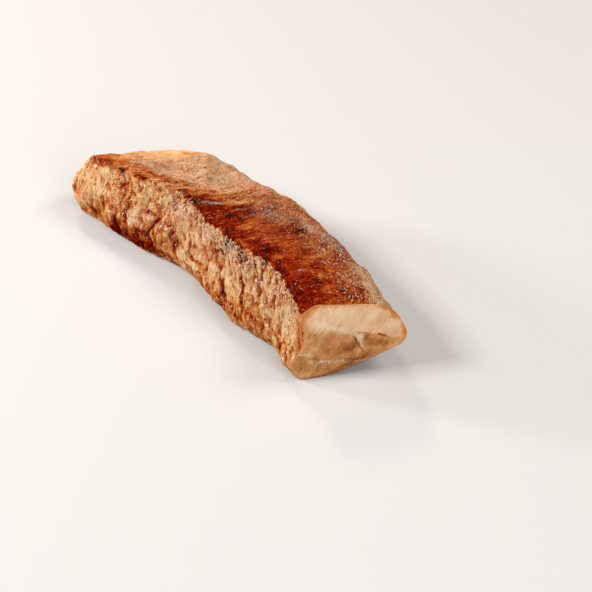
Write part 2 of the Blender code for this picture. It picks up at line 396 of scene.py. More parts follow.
# uneven flesh: wavelength along, wavelength across, phase and height of each set of waves
WAVES = [(4.7, 3.7, 5.2, 0.050), (2.9, 3.1, 0.4, 0.045), (1.9, 2.4, 2.1, 0.035),
         (1.45, 1.9, 4.0, 0.025), (1.05, 1.5, 1.2, 0.018)]
GROOVE_STEP, GROOVE_DEPTH = 0.85, 0.075
REST_FADE, END_FADE = 0.35, 1.20  # the relief fades out towards the base and the far tip
x, y, z = np.moveaxis(body, -1, 0)
height = np.zeros_like(x)
for place, reach, tall in BUMPS:
    height += tall * np.exp(-(((body - place) / reach)**2).sum(-1))
for long_wave, cross_wave, phase, tall in WAVES:
    first = np.sin(2 * np.pi * (x + 0.5 * y + 0.3 * z) / long_wave + phase)
    height += tall * first * np.sin(2 * np.pi * (y + 0.8 * z - 0.2 * x) / cross_wave - phase)
steep = clip(-1.6 * normal[..., 1] - 0.1) * np.exp(-(z - 2.0)**4)
sway = 0.22 * np.sin(1.9 * x) + 0.10 * np.sin(4.3 * x + 1.0) + 0.18 * z
groove = np.maximum(np.cos(2 * np.pi * (x + sway) / GROOVE_STEP), 0)**2
height -= GROOVE_DEPTH * steep * groove * (0.65 + 0.35 * np.sin(1.1 * x + 0.5))
from_tip = np.linalg.norm(body - body[0].mean(0), axis=-1)
height *= clip(z / REST_FADE) * clip(from_tip / END_FADE)
height *= 0.3 + 0.7 * ramp(along, stop_x, stop_x - 1.2)
print("large relief, mm:", np.round([height.min() * 10, height.max() * 10], 1))

# %% Fine relief
FOLD_HEIGHTS = (0.065, 0.060, 0.034)  # centimetres, for three sizes of fold
CREASE_DEPTH, FOOT_LUMP = 0.09, 0.09
FIBRE_HEIGHT, GRAIN_HEIGHT, TORN_HEIGHT = 0.045, 0.030, 0.045
RIM_OUT = 0.20                        # how far the right rim turns out at the cut


def folds(seed, wide, long):
    """Rounded lumps with creases between: the distance of fibre noise to zero, bent by lumps."""
    bent = 0.35 * wide * lumps(seed + 50, 0.8 * wide)
    near = np.abs(noise(seed, (fibre + bent) / wide, (around - bent) / long))
    return np.minimum(near / 0.32, 1.15)


drawn = 1 + 0.7 * ramp(along, -2.5, 0.5)  # the folds are longer towards the cut
large = folds(83, 0.75, 1.25)
small = folds(81, 0.36, 0.60 * drawn)
tiny = folds(82, 0.18, 0.30 * drawn)
crease = clip(1 - (0.45 * large + 0.35 * small + 0.20 * tiny))
dry = ramp(around + 0.35 * layers(lumps, 84, 0.6), -1.45, -0.45) * ramp(around, 0.15, -0.05)
dry *= ramp(along, -5.0, -3.8) * ramp(along, 7.4, 6.4) * (0.8 + 0.8 * lumps(23, 0.8)) * (1 - on_top)
dry = clip(dry)
grainy_top = (1 - wall) * browned_part * (1 - glaze)
grains = lumps(24, 0.16) + 0.6 * lumps(25, 0.09)
end_cap = ramp(along, -6.8, -8.0) * ramp(around, 1.2, 2.4)  # where the rings close, out of sight
fibres = layers(streaks, 90, 0.30, 1.6, weights=(0.4, 0.35, 0.35)) * (1 - 0.9 * end_cap)
folded = sum(tall * fold for tall, fold in zip(FOLD_HEIGHTS, (large, small, tiny)))
fine = (wall - 0.5 * side) * (folded - CREASE_DEPTH)
fine += FOOT_LUMP * wall * foot * layers(lumps, 98, 0.75)
fine -= CREASE_DEPTH * wall * clip(crease_lines)
fine += FIBRE_HEIGHT * fibres * (1 - wall) * (0.35 + 0.65 * browned_part)
fine += GRAIN_HEIGHT * grains * np.maximum(dry, 0.15 * wall)
fine += GRAIN_HEIGHT * grains * np.maximum(grainy_top, 0.25 * glaze)
end_folds = np.abs(noise(28, along / 0.55, around / 1.3)) - 0.4
fine += FIBRE_HEIGHT * end_folds * ramp(along, -6.8, -8.4)
crest_tear = noise(29, along / 0.28, around / 0.4) + 0.8 * noise(30, along / 0.13, around / 0.2)
crest_line = bell((around + 0.05) / 0.25)
fine += TORN_HEIGHT * crest_tear * crest_line * ramp(along, -8.5, -7.5)
fine *= 0.45 + 0.55 * ramp(along, stop_x - 0.05, stop_x - 0.6)
turned = RIM_OUT * ramp(along, 6.8, 7.4) - 0.06  # a slight dip comes before the rim
fine += turned * bell((around - 4.8) / 0.9) * ramp(along, 4.5, 6.0)
height += fine * clip(z / REST_FADE)
skin = body + normal * height[..., None]
skin[..., 2] = np.maximum(skin[..., 2], 0)
print("fine relief, mm:", np.round([fine.min() * 10, fine.max() * 10], 2))

# %% [markdown]
# ## How brown each point is
#
# Cooked meat runs through one row of colours as it browns: cream, peach, orange-brown, red-brown,
# mahogany, black. So one number, the sear, is worked out for each point, and the material turns it
# into colour. Walls are pale with brown creases and strands, the foot is orange, and the top is
# mahogany beside the ridge, orange beyond it and pale at the far end, with short dashes along its
# fibres. Single marks go on last. A few of them are painted shade, not browning: part of the
# darker spots in the wall's hollows, a strip along the foot, and a cloud over the far rim.

# %% Single marks of the sear
MARKS = [  # along, around, reach along, reach around, change of sear, lean
    # charred knots along the far ridge
    (-7.4, -0.15, 0.28, 0.22, 0.6), (-6.4, 0.02, 0.34, 0.14, 0.55, -1.2),
    (-6.3, 0.55, 0.45, 0.1, 0.32, -1.5), (-2.85, -0.12, 0.6, 0.2, 0.44),
    # orange folds above it
    (-8.6, 0.35, 1.3, 0.22, 0.3, -0.3), (-7.6, 0.75, 0.25, 0.3, 0.16), (-6.6, 0.6, 0.8, 0.3, 0.16),
    (-5, 0.45, 0.5, 0.36, 0.36), (-4.8, 0.9, 0.4, 0.09, 0.35), (-4.4, 1, 0.4, 0.2, 0.22),
    (-4, 0.55, 0.5, 0.3, 0.08), (-2.6, 0.18, 0.5, 0.18, 0.2),
    # rim line above the knob, the knob's pale middle and orange edges
    (-8.7, -0.08, 1.1, 0.17, 0.55, -0.2), (-8.9, -0.32, 0.8, 0.12, 0.35, -0.3),
    (-9.3, -1.2, 0.5, 0.5, -0.12), (-7.8, -1.8, 0.5, 0.9, -0.18), (-6.85, 0, 0.2, 0.2, -0.15),
    (-9.3, -1.9, 0.5, 0.2, 0.3, -0.9), (-9.25, 1, 0.45, 0.5, 0.18),
    # brown clouds on the far top; the wide one at (-6.6, 4.1) is painted shade, which darkens
    # the far rim where the lamps behind light it strongly
    (-6.9, 1.5, 0.35, 0.6, 0.28, -0.4), (-7.4, 2.3, 0.14, 0.2, 0.24, -1), (-6.6, 4.1, 1.3, 0.7, 0.15),
    # specks and short dashes on the pale top
    (-6.2, 3, 0.22, 0.1, 0.45, -1), (-6.5, 2.1, 0.08, 0.14, 0.6, -1), (-5, 1.7, 0.1, 0.12, 0.6, -1),
    (-4.8, 2.1, 0.06, 0.2, 0.6, -0.8), (-5.76, 2.84, 0.08, 0.2, 0.3, -0.8),
    (-2.95, 1, 0.22, 0.16, 0.4, -1), (-3.2, 2.5, 0.34, 0.1, 0.22, -1.5),
    (-3, 1.8, 0.34, 0.1, 0.16, -1.5), (-2.6, 2.6, 0.1, 0.14, 0.22), (-2.4, 3.7, 0.34, 0.1, 0.2, -1.5),
    (-1.45, 3.6, 0.1, 0.2, 0.24), (-0.7, 3.3, 0.35, 0.12, 0.22, -1.5),
    (-0.7, 2.1, 0.08, 0.18, 0.35, -1),
    # pale gaps between them
    (-1.6, 2.25, 0.5, 0.4, -0.12, -1), (-2.8, 3.4, 0.35, 0.5, -0.12), (-1.15, 1.45, 0.25, 0.35, -0.3),
    (-2.45, 0.6, 0.25, 0.25, -0.14), (-1.1, 2.8, 0.3, 0.3, -0.14),
    # torn start of the glaze
    (-1.9, 0.75, 0.1, 0.3, 0.2, 0.3), (-0.8, 1.55, 0.12, 0.25, 0.25), (-0.05, 1.65, 0.12, 0.22, 0.35),
    (-0.3, 2.8, 0.25, 0.2, 0.2),
    # dark patches of the glaze
    (5.3, 1.4, 0.4, 0.3, 0.16, -0.6), (1.7, 1.15, 0.2, 0.35, 0.2), (2.2, 1.8, 0.25, 0.25, 0.12),
    (3.5, 1.7, 0.14, 0.5, 0.28, -0.5), (2.55, 0.45, 0.45, 0.2, 0.18), (4.6, 0.12, 2, 0.2, 0.1),
    (6.1, 1.7, 0.35, 0.22, 0.2, 0.6), (2, 1.1, 1.2, 0.5, 0.07),
    # orange windows in the glaze
    (1.6, 0, 0.5, 0.16, -0.2), (1.8, 0.65, 0.45, 0.25, -0.08), (0.8, 0.85, 0.4, 0.3, -0.16),
    (3.3, 0.42, 0.28, 0.18, -0.3), (2.7, 1.45, 0.5, 0.45, -0.1, -0.3), (2.9, 2.4, 0.35, 0.45, -0.12),
    (3.6, 1.05, 0.3, 0.3, -0.12), (4.9, 2.1, 0.3, 0.3, -0.1), (6.2, 1, 0.6, 0.28, -0.1, 0.3),
    (4.4, 1.3, 0.25, 0.4, -0.24, -0.6), (5.55, 1.45, 0.3, 0.16, -0.28, -0.6),
    (6.55, 1.5, 0.3, 0.22, -0.24, -0.6), (4, 0.35, 0.2, 0.12, -0.14), (3.4, 2.2, 0.9, 0.5, -0.05),
    (1.9, 0.05, 0.3, 0.15, -0.22),
    # dark flecks on the dull top
    (1.2, 3.25, 0.25, 0.12, 0.4, -1), (0.9, 3, 0.1, 0.2, 0.35), (3.2, 3.4, 0.4, 0.2, 0.25, -1.2),
    (5.1, 2.75, 0.16, 0.14, 0.3, -0.8), (6.6, 3, 0.2, 0.14, 0.35), (6.6, 2.2, 0.45, 0.3, 0.2),
    (6.85, 2.1, 0.25, 0.35, 0.16), (4.25, 3.45, 0.25, 0.25, 0.18), (5.7, 3.25, 0.3, 0.2, 0.12),
    # tan band on the right near the cut
    (6, 3.5, 1.2, 0.4, -0.48), (5, 3.65, 0.35, 0.2, -0.18), (7.1, 3.5, 0.2, 0.3, -0.15),
    # brown below the ridge, and drips of glaze over it
    (2.3, -0.4, 0.18, 0.1, 0.5), (2.5, -0.65, 0.3, 0.2, 0.25), (1.1, -0.35, 0.26, 0.2, 0.6),
    (0.85, -0.25, 0.1, 0.12, 0.55), (0.85, -0.45, 0.4, 0.2, 0.2), (1.6, -0.55, 0.5, 0.14, 0.18),
    (3.1, -0.1, 0.16, 0.16, 0.55), (3.3, -0.45, 0.1, 0.25, 0.45, -0.6), (3.9, -0.28, 0.6, 0.2, 0.14),
    (4.15, -0.1, 0.2, 0.1, 0.3), (4.45, -0.4, 0.1, 0.1, 0.45), (5.45, -0.1, 0.2, 0.16, 0.5, 0.4),
    (6.4, -0.15, 0.3, 0.14, 0.35, 0.8),
    # darker spots of the wall, in its hollows: partly brown marinade, partly painted shade
    (-4.45, -1.62, 0.3, 0.12, 0.7, -0.5), (-3.6, -3.35, 0.45, 0.3, 0.5, 0.4),
    (-4.5, -3.4, 0.6, 0.32, 0.7, 0.4), (-5.8, -3.3, 0.6, 0.45, 0.72, 0.6),
    (-4.3, -2.7, 0.45, 0.18, 0.45, 0.3), (-2.35, -2.4, 0.22, 0.4, 0.65, -0.5),
    (-2.7, -1.95, 0.16, 0.18, 0.5), (-3.1, -1.75, 0.1, 0.1, 0.35), (-7.1, -2.2, 0.18, 0.26, 0.5, -0.5),
    (-5.5, -1.8, 0.12, 0.2, 0.45), (-5.3, -2.4, 0.12, 0.35, 0.35), (-0.2, -1.65, 0.13, 0.12, 0.55),
    (0.45, -1.3, 0.18, 0.1, 0.4), (-0.2, -1.1, 0.2, 0.35, 0.24), (4.65, -1.55, 0.07, 0.16, 0.35),
    (5.15, -0.95, 0.1, 0.18, 0.25, 0.4), (3.95, -2.05, 0.12, 0.07, 0.45), (3.7, -2.55, 0.5, 0.12, 0.3),
    (4.3, -2.65, 0.3, 0.12, 0.4, -1.5),
    # orange patches of the wall, and a strip of painted shade along its foot
    (-6.7, -1.45, 0.35, 0.3, 0.14, -0.5), (-5.7, -1.6, 0.45, 0.4, 0.24), (-5.9, -2.6, 0.45, 0.3, 0.2),
    (-3.35, -2.2, 0.35, 0.35, 0.3), (-2.1, -2.1, 0.25, 0.4, 0.14), (0.6, -2.45, 1.6, 0.3, 0.05),
    # the long strip at (1.6, -3) is painted shade where the foot meets the floor
    (1.6, -3, 1.3, 0.25, 0.18), (4.2, -2.3, 1, 0.35, 0.08), (6.2, -2.95, 0.4, 0.12, 0.15),
    # cream folds of the wall
    (-5.75, -0.8, 0.14, 0.12, -0.3), (-5.1, -0.05, 0.16, 0.1, -0.45),
    (-5.05, -2.3, 0.2, 0.5, -0.3, -0.3), (-4.9, -2.8, 0.4, 0.18, -0.16),
    (-4.8, -0.95, 0.45, 0.3, -0.22, -0.4), (-1.8, -1.6, 0.35, 0.3, -0.14),
    (-1.8, -2.5, 0.25, 0.45, -0.22, 0.6), (-1.4, -2.9, 0.6, 0.3, -0.12), (-1.1, -2.8, 0.3, 0.3, -0.14),
    (-0.8, -1, 0.45, 0.45, -0.14), (-0.4, -2.6, 0.6, 0.1, -0.28, 0.8), (-0.2, -1.8, 0.6, 0.5, -0.12),
    (-0.1, -0.5, 0.12, 0.3, -0.16), (0, -1, 1.2, 0.5, -0.06), (0.1, -2.75, 0.3, 0.1, -0.28, 0.8),
    (0.3, -2.1, 1.4, 0.4, -0.05), (0.8, -1.85, 0.5, 0.1, -0.22, -0.5),
    (1.6, -1.4, 0.4, 0.5, -0.12, -0.3), (3.6, -0.7, 0.28, 0.4, -0.18, -0.4),
    (4.35, -0.75, 0.3, 0.3, -0.16), (4.35, -1.4, 0.25, 0.2, -0.14),
    (4.45, -0.98, 0.65, 0.34, -0.36, -0.3), (5.35, -1.5, 0.3, 0.3, -0.16),
    (5.8, -2.6, 0.45, 0.4, -0.26), (5.8, -2.65, 0.12, 0.12, -0.3), (5.9, -1.2, 0.6, 0.4, -0.16, 0.6),
    (6.7, -1.85, 0.16, 0.2, -0.26), (6.7, -2.95, 0.3, 0.1, -0.34, 0.5),
]
marked = marks(MARKS)
print("marks:", len(MARKS), " sear changed by:", np.round([marked.min(), marked.max()], 2))

# %% Sear of the skin
tone = layers(lumps, 31, 1.5, weights=(0.55, 0.4, 0.3))
mottle = layers(lumps, 95, 0.42, weights=(0.45, 0.4, 0.4))
strands = layers(streaks, 130, 0.26, 1.3)
wall_sear = 0.105 + 0.15 * tone + 0.10 * mottle + 0.15 * foot + 0.03 * knob
wall_sear += 0.28 * ramp(around, 4.8, 5.8)  # the right wall is browner
wall_sear += (0.10 + 0.10 * ramp(along, -2.0, 0.5)) * strands
wall_sear += (0.62 + 0.5 * lumps(20, 1.1) + 0.20 * foot) * crease**2 * (1 - 0.5 * knob)
wall_sear += 0.72 * clip(crease_lines)
wall_sear += dry * (0.55 * clip(1 - small)**1.5 - 0.24 * grains)
pale_sear = 0.11 + 0.10 * tone + 0.38 * fibres + 0.08 * ramp(around, 1.6, 0.2)
pale_sear += (0.12 + 0.16 * end_cap) * mottle
pale_sear += 0.06 * end_cap  # the fibres, which darken the rest, fade out here
dull_sear = 0.53 + 0.16 * tone + 0.34 * fibres + 0.16 * mottle - 0.10 * grains
dull_sear -= 0.08 * ramp(around + 0.4 * tone, 2.9, 3.5)
top_sear = pale_sear + (dull_sear - pale_sear) * browned_part
near_cut = ramp(along, 3.6, 5.2)
glaze_sear = 0.60 + 0.18 * dark + (0.30 - 0.12 * dark) * (1 - 0.6 * near_cut) * fibres
glaze_sear += 0.12 * tone + (0.20 + 0.10 * near_cut) * mottle
top_sear += (glaze_sear - top_sear) * glaze
dashes = ramp(streaks(120, 0.13, 0.50), 0.40, 0.75) * ramp(lumps(122, 0.9), -0.5, 0.2)
dashes *= (1 - end_cap) * ramp(around, 4.0, 3.2)
pale_dashes = ramp(streaks(121, 0.13, 0.50), 0.45, 0.80)
top_sear += 0.30 * dashes * (1 - 0.3 * glaze) * (1 - 0.3 * far_top) - 0.22 * pale_dashes * glaze
top_sear += 0.14 * layers(streaks, 134, 0.34, 0.9) * ramp(around, 0.9, 1.6) * browned_part
sear = top_sear + (wall_sear - top_sear) * wall + marked * (1 + 0.7 * mottle)
sear += (0.52 + 0.2 * tone + 0.2 * mottle - sear) * 0.8 * under
crust_edge = ramp(along, 6.7, 7.3) * ramp(around, -0.3, -0.8) * ramp(around, -2.7, -2.2)
sear += (0.46 + 0.3 * mottle - sear) * 0.7 * crust_edge
sear = clip(sear)
print("sear, mean:", round(float(sear.mean()), 2))

# %% [markdown]
# More numbers go beside the sear. Char is burnt meat, dull and nearly black. Ash is the grey veil
# of dried juice and fat, over the tops and below the ridge. Wet is where marinade stands on the
# surface and shines. Blush runs from rosy meat, below 0, to yellow fat, above 0. Streaky and
# grainy say how strongly the material's own streaks and grains show, and one more number does the
# same for pale flecks, which are partly dry flakes of crust and partly painted glints.

# %% Char, ash, wet and blush
CHAR = [  # along, around, reach along, reach around, strength, lean
    # black lines and knots along the ridge and just above it
    (-7.42, -0.08, 0.28, 0.15, 0.95, -0.8), (-6.2, 0.02, 0.26, 0.12, 0.95),
    (-3.75, 0.1, 0.38, 0.1, 1, -1.5), (-2.6, 0.02, 0.5, 0.12, 0.6), (0.55, 0.04, 0.34, 0.12, 0.7),
    (1, -0.05, 0.4, 0.14, 0.6), (2.5, 0.45, 0.35, 0.1, 0.35), (5.2, 0.77, 0.14, 0.1, 0.45),
    # a row of three dark strokes above the far ridge
    (-5.45, 0.45, 0.3, 0.06, 0.8), (-5, 0.59, 0.28, 0.06, 0.8), (-4.55, 0.71, 0.28, 0.06, 0.8),
    # charred streak across the glaze
    (-0.3, 0.7, 0.14, 0.26, 1.3, -0.6), (0.1, 1.05, 0.22, 0.22, 1.2, 1.6), (-0.2, 1.75, 0.1, 0.1, 0.7),
    # charred streak over the crest, and two specks beside it
    (1.95, 2.65, 0.2, 0.6, 0.8, -0.7), (2.15, 2.25, 0.24, 0.4, 0.8, -0.7),
    (1.4, 2.9, 0.12, 0.3, 0.7, -0.7), (0.95, 2.95, 0.1, 0.14, 0.5), (4.6, 2.6, 0.16, 0.12, 0.4),
]
ASH = [  # along, around, reach along, reach around, strength, lean
    # pale fat streaks in the glaze
    (-1.72, 0.72, 0.12, 0.55, 1.5, 0.85), (-0.55, 1.5, 0.06, 0.4, 0.8, 0.1),
    (0.15, 1.55, 0.06, 0.4, 0.9, 0.1), (4.98, 0.85, 0.1, 0.16, 1.1, 0.3),
    # grey veil on the crest and over the browned top
    (-0.6, 3, 0.7, 0.7, 0.35, -1), (0.3, 2.5, 0.7, 0.7, 0.6), (1.2, 3.6, 0.8, 0.4, 0.85, -1),
    (2.6, 3.4, 0.8, 0.35, 0.8, -1.2), (2, 1.1, 1.4, 0.5, 0.08), (3.4, 2.2, 0.9, 0.5, 0.25),
    (5.9, 2.7, 1.1, 0.35, 0.25),
    # greyish film on the pale top; the one at (-8.75, 2.7) is painted shade, which dulls the
    # far rim where the lamps behind light it strongly
    (-8.75, 2.7, 0.5, 1.2, 0.35), (-5.6, 2.7, 0.9, 0.4, 0.5, -1), (-3.4, 1.2, 0.6, 0.3, 0.35),
    (-2.5, 3.6, 1.2, 0.5, 0.3, -1),
    # dust under the ridge
    (-2.8, -0.9, 1.2, 0.5, 0.3), (3.8, -0.8, 1, 0.5, 0.12),
]
BLUSH = [  # along, around, reach along, reach around, strength, lean
    # yellow fat on the wall
    (-4.6, -0.9, 0.6, 0.3, 0.45, -0.8), (-2.4, -1.5, 0.6, 0.4, 0.6), (0.9, -2.5, 2, 0.45, 0.4),
    (1.9, -1.6, 0.6, 0.6, 0.1, -0.3), (3.4, -2.7, 0.8, 0.35, 0.6), (4.6, -2.9, 1.6, 0.4, 0.7),
    # rosy meat on the wall
    (-4.5, -2.1, 0.4, 0.4, -0.5), (-3, -1.15, 1.2, 0.6, -0.8), (0, -1.1, 1.3, 0.7, -0.5),
    (1.9, -0.9, 0.4, 0.3, -0.7), (4.9, -0.6, 0.9, 0.5, -0.6), (6.2, -2.6, 0.35, 0.25, -0.6),
    # rosy meat on the top
    (-6.6, 1.8, 0.8, 0.8, -0.3), (-3.6, 3.2, 1.4, 0.5, -0.8, -1.5), (1.4, 3.6, 1.6, 0.6, -0.3, -1),
    (5.6, 3.6, 1.2, 0.5, -0.5),
]
char = clip(marks(CHAR) * (0.75 + 1.3 * layers(streaks, 90, 0.16, 1.2)))
near_edge = ramp(around + 0.5 * mottle, 1.5, 2.3) * ramp(along + 0.4 * mottle, 1.8, 2.8)
right_edge = ramp(around, 2.8, 3.4) * ramp(along, 3.5, 5.0)
far_pale = clip(far_top + side * (1 - browned_part) * (1 - knob))
far_film = far_pale * (0.75 + 0.9 * tone + 0.3 * ramp(around, 3.2, 4.0))
far_film *= ramp(around, 0.5, 1.2) * ramp(along, -3.0, -4.5)
ash = clip(marks(ASH) + 0.24 * dry + 0.10 * grainy_top + far_film, 0, 1.2)
ash *= clip(0.75 + 0.5 * grains + 1.0 * mottle, 0, 1.2)
wet = 0.35 + 0.27 * glaze + 0.45 * wall + 0.3 * grainy_top + 0.9 * mottle
wet = clip(wet - 0.3 * dry - 0.4 * foot - 0.2 * dark - char)
blush = clip(marks(BLUSH) + 0.5 * layers(lumps, 101, 1.1) - 0.4 * far_pale, -1, 1)
blush *= 1 - 0.8 * glaze
streaky = 0.60 - glaze * (0.15 + 0.15 * near_cut) + 0.10 * far_top
streaky *= (1 - 0.7 * ramp(around, 3.2, 4.4)) * (1 - 0.9 * end_cap)
grainy = 0.52 + 0.33 * wall + 0.50 * np.maximum(dry, grainy_top) + 0.15 * glaze - 0.25 * knob
grainy += 0.3 * near_edge + 0.45 * far_top
# pale flecks on the skin: partly dry flakes of crust, partly painted glints in place of wet sparkle
flakes_and_glints = 0.06 + 0.42 * wall + 0.6 * dry + 0.40 * grainy_top + 0.12 * glaze + 0.20 * far_top
flakes_and_glints += near_edge * (0.27 + 0.7 * mottle) - 0.40 * side - 0.35 * foot * ramp(along, -2.6, -3.8)
flakes_and_glints += 0.14 * right_edge
print("charred:", round(float((char > 0.5).mean()) * 100, 2), "% of the skin")

# %% [markdown]
# ## The cut face
#
# The knife left a flat face across two muscles, with a seam of pale tissue between them, a slit
# where they part, and a small lifted flap. The face is made of rings that shrink from the rim to
# its middle. Its own coordinates are q, in from the left foot, and z, up. The rim is rounded a
# little, since a crust never ends in a knife edge.

# %% Shape of the cut face
FACE_RINGS = 42
RIM_BACK = 0.012  # how far the rim is rounded back, centimetres
cut_skew = np.radians(RAIL[-1, 2])
facing = np.array([np.cos(cut_skew), -np.sin(cut_skew), 0])
across = np.array([np.sin(cut_skew), np.cos(cut_skew), 0])
foot_corner = np.array([RAIL[-1, 0], RAIL[-1, 1], 0])
skin[-1] -= ((skin[-1] - foot_corner) @ facing)[:, None] * facing
hub = skin[-1].mean(0)
share = 1 - (np.arange(1, FACE_RINGS + 1) / (FACE_RINGS + 1))**0.9
face = hub + (skin[-1] - hub) * share[:, None, None]
q = (face - foot_corner) @ across
z_face = face[..., 2]
from_rim = (1 - share[:, None]) * np.linalg.norm(skin[-1] - hub, axis=-1) * 0.92
q_bent = q + 0.06 * noise(50, q / 0.35, z_face / 0.35) + 0.03 * noise(59, q / 0.13, z_face / 0.13)
z_bent = z_face + 0.06 * noise(51, q / 0.35, z_face / 0.35)
z_bent += 0.03 * noise(60, q / 0.13, z_face / 0.13)
SEAM = [(0.75, 3.45), (1.20, 3.12), (1.60, 2.80), (2.00, 2.60), (2.60, 2.36), (3.00, 2.30),
        (3.50, 2.14), (3.85, 1.97)]
SLIT = [(3.85, 1.97), (4.20, 1.82), (4.58, 1.64)]
LOWER_SEAM = [(0.95, 1.05), (1.50, 0.96), (2.10, 0.90), (2.80, 0.76), (3.60, 0.72)]
FOLD = [(0.12, 1.30), (0.45, 1.42), (0.85, 1.38), (1.10, 1.25)]
FAT = [(1.50, 2.88), (1.95, 2.64), (2.35, 2.50), (2.62, 2.34), (2.95, 2.20)]
# a lifted tongue of tissue: three heights, with its middle and its half width there
FLAP_Z, FLAP_Q, FLAP_HALF = (1.10, 1.60, 2.05), (3.42, 3.22, 3.14), (0.01, 0.09, 0.19)
seam = near_route(q_bent, z_bent, SEAM, 0.05)
slit = near_route(q_bent, z_bent, SLIT, 0.08) * ramp(q, 3.80, 4.05) * ramp(q, 4.62, 4.30)
lower_seam = near_route(q_bent, z_bent, LOWER_SEAM, 0.05)
fold = near_route(q_bent, z_bent, FOLD, 0.06)
fat = near_route(q_bent, z_bent, FAT, 0.13)
off_flap = q + 0.25 * (q_bent - q) - np.interp(z_face, FLAP_Z, FLAP_Q)
half = np.interp(z_face, FLAP_Z, FLAP_HALF)
flap = ramp(np.abs(off_flap), half + 0.08, half - 0.08) * ramp(z_face, 1.05, 1.20)
flap *= ramp(z_face, 2.20, 2.05)
# a thin groove along the flap's left edge; the flesh colour is darkened along it too, as painted
# shadow
flap_groove_and_shade = bell((off_flap + half + 0.04) / 0.035) * ramp(z_face, 1.05, 1.2)
flap_groove_and_shade *= ramp(z_face, 2.1, 1.9)
grain = noise(52, q / 0.16, z_face / 0.35) + 0.5 * noise(53, q / 0.08, z_face / 0.12)
depth = 0.014 * grain - 0.030 * seam - 0.10 * slit + 0.03 * flap - 0.03 * flap_groove_and_shade
depth -= 0.012 * lower_seam + 0.035 * bell(from_rim / 0.05) - 0.015 * fold
depth += 0.025 * noise(54, q / 0.9, z_face / 0.9)
depth *= ramp(from_rim, 0, 0.05)
face += facing * depth[..., None]
skin[-1] -= RIM_BACK * facing
print("cut face, cm:", np.round([np.ptp(q), np.ptp(z_face)], 1))

# %% [markdown]
# Flesh has one row of colours too, from cream to tan, so it gets one number as well, the depth of
# its colour. The upper muscle is the palest and the lower one is tan. The same number also holds
# painted shade: along the bottom rim, beside the flap and along its left edge. Edge is the orange
# brown that the crust leaves in the flesh: a soft line on top, a patch in the upper left corner, an
# uneven band on the right. Rosy is the less done middle, and tissue is pale fat and sinew.

# %% Colour numbers of the cut face
FLESH = [  # q, z, reach q, reach z, change of depth
    (1.20, 2.40, 0.45, 0.80, -0.05),
    (2.05, 1.75, 0.80, 0.70, 0.10),   # middle of the lower muscle
    (2.75, 1.45, 0.35, 0.35, 0.22),   # golden hollow left of the flap: golden tone with painted shade
    (3.52, 1.80, 0.16, 0.30, 0.28),   # painted shade on its right
    (3.95, 1.40, 0.50, 0.40, 0.34),
    (4.00, 2.55, 0.45, 0.40, 0.07),
    (2.25, 2.72, 0.30, 0.05, 0.22),   # yellow sinew above the fat
    (0.70, 0.90, 0.35, 0.35, 0.08),
    (2.20, 0.55, 1.20, 0.16, 0.14),   # olive strip under the lower seam
    (3.10, 0.75, 0.60, 0.12, 0.14),
]
EDGE = [  # q, z, reach q, reach z, strength
    (0.86, 3.62, 0.34, 0.34, 0.55),   # orange corner under the crust
    (1.15, 3.92, 0.30, 0.14, 0.30),
    (0.66, 2.30, 0.10, 0.70, 0.30),   # left edge beside the wall
    (0.30, 1.45, 0.20, 0.12, 0.30),
]
ROSY = [(2.05, 1.95, 0.45, 0.45, 1.0), (2.60, 3.10, 0.90, 0.40, 0.15),
        (4.60, 2.15, 0.35, 0.35, 0.6), (3.90, 3.00, 0.30, 0.35, 0.25),
        (3.75, 1.50, 0.30, 0.25, 0.35)]
TISSUE = [(0.80, 1.50, 0.35, 0.80, 0.22), (1.70, 0.80, 0.90, 0.30, 0.22)]


def spots(rows):
    """Sum of soft spots exp(-d^2) on the cut face: q, z, reach q, reach z, strength."""
    return sum(strength * np.exp(-((q_bent - at_q) / reach_q)**2 - ((z_bent - at_z) / reach_z)**2)
               for at_q, at_z, reach_q, reach_z, strength in rows)


below_seam = np.interp(q, *zip(*(SEAM + SLIT[1:]))) - z_bent
lower = ramp(below_seam, -0.04, 0.30 + 0.55 * ramp(q, 2.4, 1.2))
clouds = noise(61, q / 0.55, z_face / 0.55) + 0.6 * noise(62, q / 0.22, z_face / 0.30)
threads = noise(58, (q_bent - 0.5 * z_bent) / 0.09, z_face / 0.6)
flesh = 0.15 + 0.12 * clouds + 0.11 * threads + 0.34 * lower + spots(FLESH)
flesh += (0.10 * clouds + 0.07 * threads) * lower
flesh += 0.12 * noise(132, q / 1.1, z_face / 0.16) * ramp(z_face, 1.1, 0.7)
flesh += 0.26 * bell((below_seam - 0.05) / 0.07) * ramp(q, 2.7, 3.1) + 0.14 * lower_seam
flesh -= 0.10 * near_route(q_bent, z_bent + 0.09, LOWER_SEAM, 0.05) + 0.10 * fold
# painted shadow along the flap's left edge
flesh += 0.50 * flap_groove_and_shade
soft_edge = 0.12 + 0.08 * ramp(z_face, 2.6, 3.6) + 0.08 * ramp(q, 3.9, 4.5)
soft_edge *= 1 + 0.5 * noise(55, q / 0.4, z_face / 0.4) + 0.4 * noise(56, q / 0.15, z_face / 0.15)
edge = 0.58 * bell(from_rim / soft_edge) * (0.9 + 0.3 * clouds)
edge += spots(EDGE) * (0.9 + 0.5 * clouds)
uneven = clip(0.8 + 0.9 * noise(131, q / 0.45, z_face / 0.45), 0.2, 1.3)
right_band = bell(from_rim / (0.12 + 0.10 * uneven)) * ramp(q, 3.8, 4.3)
edge += 0.66 * uneven * right_band * ramp(z_face, 1.5, 2.0)
edge = 0.75 * (1 - np.exp(-1.5 * edge))
